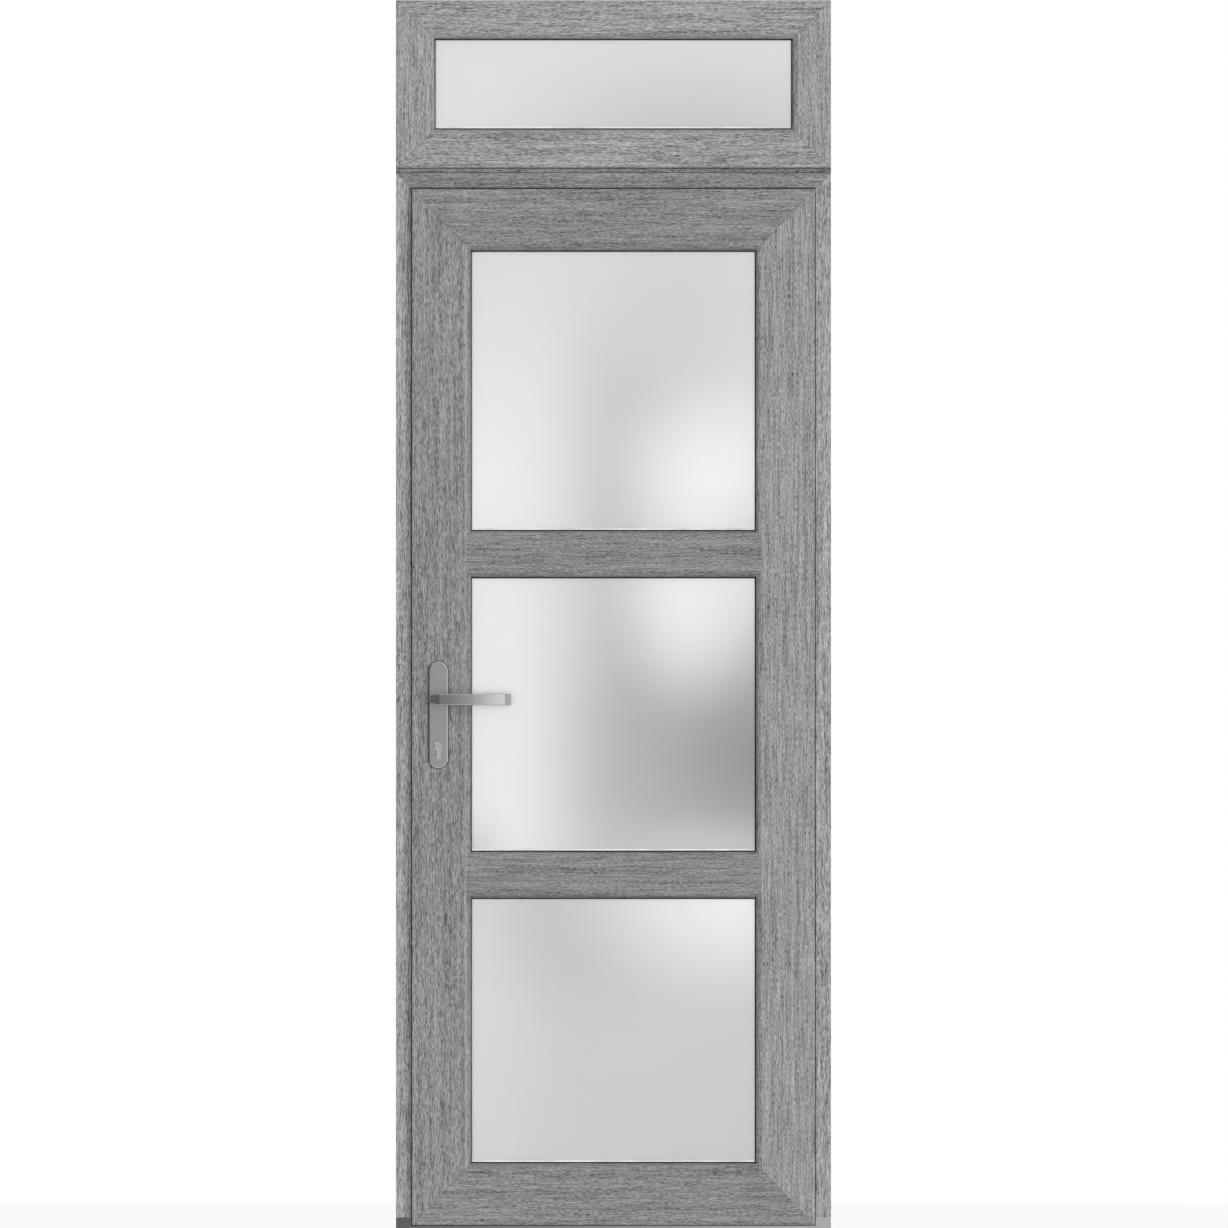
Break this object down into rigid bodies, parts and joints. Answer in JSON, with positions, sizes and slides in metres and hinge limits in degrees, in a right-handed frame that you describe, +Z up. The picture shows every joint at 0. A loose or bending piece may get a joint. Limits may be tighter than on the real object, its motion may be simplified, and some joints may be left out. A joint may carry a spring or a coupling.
{
  "type": "prehung front door",
  "caption": "Outward-opening glazed front door leaf hung in its frame, with a fixed toplight, aluminium threshold, key lock and lever handles on long plates.",
  "frame": {"origin": "centre of the threshold's underside, at half the frame's width and depth", "axes": "+Z up; +X to the right and +Y into the building, as seen from outside"},
  "size_m": [0.85, 0.198, 2.4],
  "materials": {
    "grey_foil": "satin wood-grain foil",
    "satin_glass": "acid-etched satin",
    "black_rubber": "matt",
    "black_plastic": "matt",
    "threshold_aluminium": "mill finish, ribbed",
    "spacer_bar": "matt",
    "steel": "zinc plated",
    "satin_nickel": "satin"
  },
  "bodies": {
    "frame": {"threshold": "threshold_aluminium", "threshold_core": "black_plastic", "lock_jamb": "grey_foil", "hinge_jamb": "grey_foil", "frame_head": "grey_foil", "coupling_strip": "grey_foil", "keepers": "steel", "toplight_left_jamb": "grey_foil", "toplight_right_jamb": "grey_foil", "toplight_head": "grey_foil", "toplight_sill": "grey_foil", "toplight_outer_pane": "satin_glass", "toplight_inner_pane": "satin_glass", "toplight_beads": "grey_foil", "toplight_gasket": "black_rubber", "toplight_spacer": "spacer_bar", "frame_seal": "black_rubber", "hinge_frame_halves": "steel"},
    "leaf": {"lock_stile": "grey_foil", "hinge_stile": "grey_foil", "top_rail": "grey_foil", "bottom_rail": "grey_foil", "upper_mid_rail": "grey_foil", "lower_mid_rail": "grey_foil", "upper_outer_pane": "satin_glass", "upper_inner_pane": "satin_glass", "middle_outer_pane": "satin_glass", "middle_inner_pane": "satin_glass", "lower_outer_pane": "satin_glass", "lower_inner_pane": "satin_glass", "upper_beads": "grey_foil", "middle_beads": "grey_foil", "lower_beads": "grey_foil", "leaf_gaskets": "black_rubber", "leaf_spacers": "spacer_bar", "leaf_seal": "black_rubber", "bottom_brush": "black_rubber", "hinge_leaf_halves": "steel", "lock_edge_strip": "steel", "lock_cylinder": "satin_nickel", "outside_backplate": "satin_nickel", "inside_backplate": "satin_nickel"},
    "levers": {"outside_lever": "satin_nickel", "inside_lever": "satin_nickel", "spindle": "steel"}
  },
  "joints": [
    {"name": "leaf_hinge", "type": "hinge", "parent": "frame", "child": "leaf", "pos_m": [0.3875, -0.0482, 1.019], "axis": [0, 0, 1], "range_deg": [0, 100]},
    {"name": "lever_turn", "type": "hinge", "parent": "leaf", "child": "levers", "pos_m": [-0.342, -0.0212, 1.0335], "axis": [0, 1, 0], "range_deg": [0, 40], "stiffness_Nm_per_rad": 2, "springref_deg": -28.65}
  ]
}
